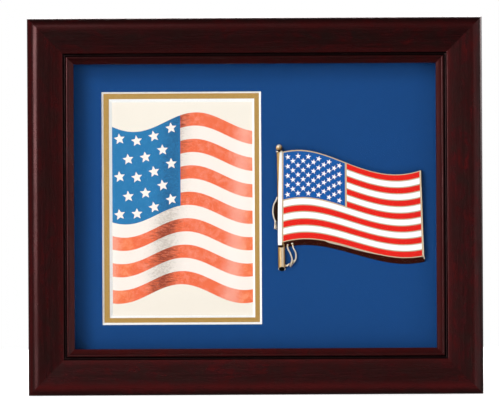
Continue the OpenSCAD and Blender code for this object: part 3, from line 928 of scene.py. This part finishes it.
def star_pieces():
    """Fifty white stars, each in a thin blue wall."""
    stars = Build()
    for line in range(9):
        v = mix((0.066, 0.484), line / 8)
        for k in range(6 if line % 2 == 0 else 5):
            u = 0.083 + 0.163 * (k if line % 2 == 0 else k + 0.5)
            x = mix((mix(HOIST, v), CANTON_X), u)
            z = flag_z(x, v)
            slope = math.atan(flag_z(x + 0.5, v) - flag_z(x - 0.5, v))
            face = FACE_DEPTH + 0.05 - 0.07 - lift(x, v)
            rim = star_points((x, z), 2.12, slope, 0.36)
            top = star_points((x, z), 2.06, slope, 0.36)
            levels = ((rim, face + 0.1), (rim, face - 0.04), (top, face - 0.05))
            stars.grid([[(p, t, q) for p, q in loop] for loop, t in levels], 1, wrap_cols=True)
            for i in range(10):
                a, b = top[i], top[(i + 1) % 10]
                stars.face([(x, face - 0.09, z), (a[0], face - 0.05, a[1]), (b[0], face - 0.05, b[1])], 0)
    obj = stars.piece("canton_stars", [WHITE, BLUE])
    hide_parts("enamel_stars")


def pole_at(z):
    return Vector((POLE_X - z * POLE_LEAN, BLUE_FRONT - 1.15, z))


class Casting(Build):
    """A gold mesh that also keeps each vertex's painted shade and painted highlight."""

    def __init__(self):
        super().__init__()
        self.painted_shade_and_shine_pairs = []

    def mark(self, painted_shade_and_shine):
        """Sets the (painted shade, painted highlight) pair of what was added since the last call.

        The argument is that pair or a function of the point.
        """
        for v in self.verts[len(self.painted_shade_and_shine_pairs) :]:
            self.painted_shade_and_shine_pairs.append(painted_shade_and_shine(v) if callable(painted_shade_and_shine) else painted_shade_and_shine)

    def finish(self, name, node=None, smooth=True):
        obj = self.piece(name, [GOLD_WITH_PAINTED_LIGHT, DARK_GOLD], smooth=smooth)
        paint(obj, "painted_shade_and_shine", self.painted_shade_and_shine_pairs)
        if node:
            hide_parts(node)


def shaft_ring(z, radius, q0=-180.0, q1=180.0, n=32, cut=0.0):
    """Points round the pole at a height: 0 degrees faces forward, 90 is to the right.

    cut lifts the near side.
    """
    out = []
    for k in range(n + (q1 - q0 < 360)):
        q = math.radians(q0 + (q1 - q0) * k / n)
        p = pole_at(z + cut * (1 + math.cos(q)) / 2) + Vector((radius * math.sin(q), -radius * math.cos(q), 0))
        p.y = min(p.y, BLUE_FRONT - 0.04)
        out.append(p)
    return out


def bearing(p):
    """Degrees round the pole of a point on it."""
    mid = pole_at(p.z)
    return math.degrees(math.atan2(p.x - mid.x, mid.y - p.y))


def ramped(stops, x):
    """Straight-line reading of a short table of (place, value)."""
    for (xa, ya), (xb, yb) in zip(stops, stops[1:]):
        if x <= xb:
            return ya + (yb - ya) * max(0, (x - xa) / (xb - xa))
    return stops[-1][1]


POLE_TOP = (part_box("pole_finial")[0].z - MID_Z) / MM
POLE_FOOT = -43.9
FERRULE_TOP = -26.6
FERRULE_R = 2.45


def pole():
    """Half round rod: painted shade down its left side, painted duller beside the heading."""
    build = Casting()
    shades = [(-90, 0.95), (-66, 0.90), (-54, 0.15), (-40, 0.30), (-16, 0.50), (0, 0.3), (90, 0.7)]
    heights = [FERRULE_TOP - 5] + [mix((FERRULE_TOP - 1, FERRULE_TOP + 1), i / 10) for i in range(11)]
    heights += [mix((FERRULE_TOP + 2, POLE_TOP + 0.2), i / 30) for i in range(31)]
    rows = [shaft_ring(z, POLE_R) for z in heights]
    capped(build, rows)

    def shaft_painted_light(p):
        # Painted shade where the pole goes into the ferrule.
        if p.z < FERRULE_TOP + 0.3 and bearing(p) < 25:
            return (1.0, 0.0)
        return (ramped(shades, bearing(p)), 0.0)

    build.mark(shaft_painted_light)
    build.finish("gold_pole", "flagpole")


def heading():
    """White enamel strip on the near side of the pole, from the ball down to the ferrule."""
    build, rows = Build(), []
    for i in range(41):
        k = i / 40
        z = mix((FERRULE_TOP + 0.3, POLE_TOP - 0.6), k)
        q0, q1 = mix((-78, -2), k), mix((6, 40), k)
        near = shaft_ring(z, POLE_R + 0.25, q0, q1, 8)
        rows.append(near + list(reversed(shaft_ring(z, POLE_R - 0.05, q0, q1, 8))))
    capped(build, rows)
    obj = build.piece("white_heading", [WHITE], smooth=40)
    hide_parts("flag_heading")


def ferrule():
    """Open tube with slanting ends: the bore shows at both, painted dark as shade."""
    build = Casting()
    bore = FERRULE_R - 0.40
    low, high = 2.9, -1.4
    waist = mix((POLE_FOOT, FERRULE_TOP), 0.5)
    rings = [
        (POLE_FOOT + 4.0, bore, low), (POLE_FOOT + 0.1, bore, low), (POLE_FOOT, bore + 0.2, low),
        (POLE_FOOT + 0.1, FERRULE_R, low), (POLE_FOOT + 1.0, FERRULE_R, low), (waist, FERRULE_R, 0.0),
        (FERRULE_TOP - 1.0, FERRULE_R, high), (FERRULE_TOP - 0.1, FERRULE_R, high),
        (FERRULE_TOP, bore + 0.2, high), (FERRULE_TOP - 0.1, bore, high), (FERRULE_TOP - 3.5, bore, high),
    ]
    rows = [shaft_ring(z, r, n=40, cut=c) for z, r, c in rings]
    build.grid(rows[:2], wrap_cols=True)
    build.face(list(reversed(rows[0])))
    build.mark((1.0, 0.0))
    build.grid(rows[1:4], wrap_cols=True)
    # Painted highlight on the foot rim.
    build.mark(lambda p: (0.0, 0.9 if abs(bearing(p)) > 40 else 0.0))
    # Painted shade and painted highlight round the body.
    round_it = [
        (-90, 0.9), (-68, 0.85), (-50, 0.30), (-20, 0.12), (18, 0.0),
        (34, 0.25), (50, 0.35), (64, 0.9), (90, 0.9),
    ]
    painted_highlight = [(-30, 0.0), (8, 0.5), (22, 0.7), (34, 0.0), (48, 0.25), (60, 0.0)]
    build.grid(rows[3:8], wrap_cols=True)
    build.mark(lambda p: (ramped(round_it, bearing(p)), ramped(painted_highlight, bearing(p))))
    build.grid(rows[7:10], wrap_cols=True)
    # Painted highlight on the near top rim, painted shade on the rest.
    build.mark(lambda p: (0.0, 1.0) if bearing(p) > 10 else (0.5, 0.2))
    build.grid(rows[9:], wrap_cols=True)
    build.mark((1.0, 0.0))
    build.finish("gold_ferrule", "pole_ferrule", smooth=40)


def finial():
    """Ball on a collar, with the neck between the two painted dark as shade."""
    build = Casting()
    base = pole_at(POLE_TOP) + Vector((-0.35, -0.9, 0))
    up = Vector((-POLE_LEAN, 0, 1)).normalized()
    lathe(build, base, up, [(-0.7, 1.8), (-0.55, 2.2), (-0.2, 2.35), (0.15, 2.2), (0.3, 1.6)])
    # Collar: painted shade across the middle and top, painted highlight at the sides.
    build.mark(lambda p: (0.95, 0) if -0.9 < p.x - base.x < 0.7 or p.z > base.z + 0.25 else (0.0, 0.9))
    lathe(build, base, up, [(0.2, 1.5), (0.9, 1.5)])
    build.mark((1.0, 0.0))
    ball_mid, ball_r = base + up * 2.4, 2.2
    turn = [math.radians(-42 + 132 * k / 15) for k in range(16)]
    lathe(build, ball_mid, up, [(ball_r * math.sin(q), ball_r * max(0.02, math.cos(q))) for q in turn])

    # Painted shade towards the lower right and the rim, painted highlight at the upper front.
    def ball_painted_light(p):
        n = (p - ball_mid) / ball_r
        dark = max(0, n.dot(Vector((0.60, -0.40, -0.70)))) ** 1.2
        edge = max(0, 1 - (-n.y) * 2.6)
        return (min(1, 0.95 * dark + 0.6 * edge), max(0, n.dot(Vector((-0.15, -0.75, 0.64)))) ** 5)

    build.mark(ball_painted_light)
    build.finish("ball_finial", "pole_finial")


def tassel(build, top, tip, threads, spread):
    """A knot, a bound neck and a skirt of loose threads, every other one painted dark as shade and the rest
    painted bright as highlight.
    """
    top, tip = Vector(top), Vector(tip)
    along = (tip - top).normalized()
    a = along.orthogonal().normalized()
    b = along.cross(a)
    knot = [(-0.2, 0.2), (0.0, 0.55), (0.45, 0.8), (0.9, 0.6), (1.1, 0.5), (1.25, 0.7), (1.4, 0.5)]
    lathe(build, top, along, knot, 16)
    # Knot: painted highlight in front, painted shade behind.
    build.mark(lambda p: (0.0, 0.9) if p[1] < top.y - 0.25 else (0.85, 0.0))
    rng = random.Random(7)
    length = (tip - top).length
    for k in range(threads):
        q = 2 * math.pi * k / threads
        out = (a * math.cos(q) + b * math.sin(q)) * spread * (0.7 + 0.3 * rng.random())
        reach = length * (0.84 + 0.22 * rng.random())
        bound, waist = top + along * 1.2 + out * 0.35, top + along * (0.6 * length) + out * 0.8
        tube(build, [bound, waist, top + along * reach + out], 0.18, 6)
        build.mark((0.95, 0.0) if k % 2 else (0.0, 1.0))


def strand_painted_light(p):
    """Painted highlight on the near side of the cord, painted shade towards the mat."""
    return (0.0, 1.0) if p[1] < CORD_DEPTH else (0.95, 0.0)


# Routes of the cords: x, how far in front of the others' depth, z.
CORD_R = 0.60
UPPER_CORD = [
    (14.9, 0.6, 6.0), (13.9, 0.4, 3.6), (12.4, 0, 0.6), (11.9, 0, -3.6), (12.3, 0, -7.0), (13.4, 0, -10.4),
]
CORD_A = [
    (21.6, 0, -25.8), (21.8, 0, -28.7), (23.2, 0, -31.4), (24.2, 0, -34.1),
    (24.6, 0, -36.5), (23.8, 0.2, -38.5), (22.3, 0.2, -39.5), (20.0, 0, -40.4),
]
CORD_B = [
    (24.9, 0, -25.6), (25.4, 0, -28.1), (26.8, 0, -30.8), (27.3, 0, -33.2),
    (27.0, 0, -35.8), (26.0, 0, -37.6), (24.6, 0, -38.9),
]
# The dark solid between the upper cord and the pole is painted dark as shade; the solid itself is a guess, and
# there may be only shadow there.
SHADE_SHEET_FRONT, SHADE_SHEET_REAR = Vector((0, 0.5, 0)), Vector((0, 1.0, 0))


def halyards():
    def route(points):
        return [(x, CORD_DEPTH - near, z) for x, near, z in points]

    upper = Casting()
    rope(upper, route(UPPER_CORD), CORD_R)
    upper.mark(strand_painted_light)
    near = curve_through(route(UPPER_CORD[1:]), 6)
    # A sheet painted dark as shade between the cord and the pole.
    shade_sheet = []
    for p in near:
        inner = Vector((POLE_X - 1.2 - p.z * POLE_LEAN, p.y, p.z))
        shade_sheet.append([inner + SHADE_SHEET_REAR, inner + SHADE_SHEET_FRONT, p + SHADE_SHEET_FRONT, p + SHADE_SHEET_REAR])
    capped(upper, shade_sheet)
    upper.mark((1.0, 0.0))
    upper.finish("upper_halyard", "halyard_upper")
    knot = Casting()
    tassel(knot, (13.4, CORD_DEPTH, -9.8), (13.6, CORD_DEPTH, -15.8), 15, 1.2)
    knot.finish("upper_tassel", "tassel_upper")
    lower = Casting()
    rope(lower, route(CORD_A), CORD_R)
    rope(lower, route(CORD_B), CORD_R)
    lower.mark(strand_painted_light)
    for x, z, r in ((21.8, -26.4, 0.80), (24.9, -25.4, 1.0), (19.9, -40.3, 1.0)):
        turns = [math.radians(q) for q in range(-90, 91, 20)]
        profile = [(r + r * math.sin(q), r * max(0.03, math.cos(q))) for q in turns]
        lathe(lower, (x, CORD_DEPTH, z - r), (0, 0, 1), profile, 16)
        # Painted highlight at the loop's upper left, painted shade on the rest.
        lower.mark(lambda p, x=x, z=z: (0.0, 0.9) if p[0] < x + 0.25 and p[2] > z - 0.3 else (0.45, 0.1))
    for k in range(4):
        x, z = 25.2 - 1.1 * k, -38.0 - 0.62 * k
        wrap = [(x - 0.7, 0.5, z - 0.8), (x, 0.9, z + 0.1), (x + 0.6, 0.4, z + 1.0)]
        rope(lower, route(wrap), 0.42)
        # Wraps painted as highlight and shade in turn.
        lower.mark((0.0, 0.95) if k % 2 else (0.5, 0.2))
    lower.finish("lower_halyard", "halyard_lower")
    knot = Casting()
    tassel(knot, (26.3, CORD_DEPTH - 0.3, -36.9), (23.0, CORD_DEPTH - 0.3, -40.4), 15, 0.95)
    knot.finish("lower_tassel", "tassel_lower")


casting()
bright_edges()
enamel_pieces()
star_pieces()
pole()
heading()
ferrule()
finial()
halyards()

# ---------------------------------------------------------------------------
# Stage: pale floor, soft light, camera square to the front
# ---------------------------------------------------------------------------
def floor():
    m = Mat("floor", Specular_IOR_Level=0.2)
    n = m.noise(m.place(), 0.01, 3)
    m.colour(m.blend(m.ramp(n, [(0.3, 0.0), (0.7, 1.0)]), (0.93, 0.93, 0.93), (0.90, 0.90, 0.90)))
    m.bsdf.inputs["Emission Color"].default_value = (1, 1, 1, 1)
    m.bsdf.inputs["Emission Strength"].default_value = 0.55
    m.rough(n, 0.7, 0.8)
    build = Build()
    build.grid([[(x, y, -MID_Z / MM) for x in (-800, 0, 800)] for y in (-800, 0, 800)])
    build.piece("floor", [m.m], stage=True).visible_glossy = False


def softbox(name, place, size, power, mirrored=True):
    """A rectangular light aimed at the frame; mirrored says whether gloss shows it."""
    light = bpy.data.lights.new(name, "AREA")
    light.shape = "RECTANGLE"
    light.size, light.size_y = size
    light.energy = power
    obj = bpy.data.objects.new(name, light)
    obj.location = place
    obj.rotation_euler = (at((0, 0, 0)) - Vector(place)).to_track_quat("-Z", "Y").to_euler()
    obj.visible_glossy = mirrored
    bpy.context.scene.collection.objects.link(obj)


def studio():
    world = bpy.data.worlds.new("studio")
    bpy.context.scene.world = world
    world.use_nodes = True
    nt = world.node_tree
    seen = nt.nodes.new("ShaderNodeLightPath").outputs["Is Camera Ray"]
    tone_mix = nt.nodes.new("ShaderNodeMix")
    tone_mix.data_type = "RGBA"
    tone_mix.inputs["A"].default_value = (0.04, 0.04, 0.04, 1)
    tone_mix.inputs["B"].default_value = (1, 1, 1, 1)
    nt.links.new(seen, tone_mix.inputs["Factor"])
    nt.links.new(tone_mix.outputs["Result"], nt.nodes["Background"].inputs["Color"])
    softbox("key", (-1.95, -2.10, 2.05), (1.1, 1.1), 63)
    softbox("side", (-1.62, -2.14, 0.55), (1.5, 0.8), 33)
    softbox("top", (-0.55, -1.9, 1.5), (0.6, 1.0), 2.4)
    softbox("right", (2.0, -1.2, 0.4), (3.0, 3.0), 15)
    softbox("fill", (0.3, -2.9, 1.0), (1.3, 1.3), 10, mirrored=False)
    softbox("back", (0.3, 1.6, 1.0), (1.6, 1.2), 40)
    softbox("back_side", (1.8, 1.3, 0.8), (1.2, 1.2), 14)


def camera():
    """Square to the front; the scale comes from the frame's width in the view."""
    cam = bpy.data.cameras.new("camera")
    obj = bpy.data.objects.new("camera", cam)
    bpy.context.scene.collection.objects.link(obj)
    bpy.context.scene.camera = obj
    away, view_width = 2.4, 0.3341
    cam.sensor_width = 36
    cam.lens = 36 * away / view_width
    cam.clip_start, cam.clip_end = 0.05, 50
    obj.location = at((-3.5, -away / MM, -1.3))
    obj.rotation_euler = (math.radians(90), math.radians(0.29), 0)
    bpy.context.scene.view_settings.view_transform = "Standard"


floor()
studio()
camera()
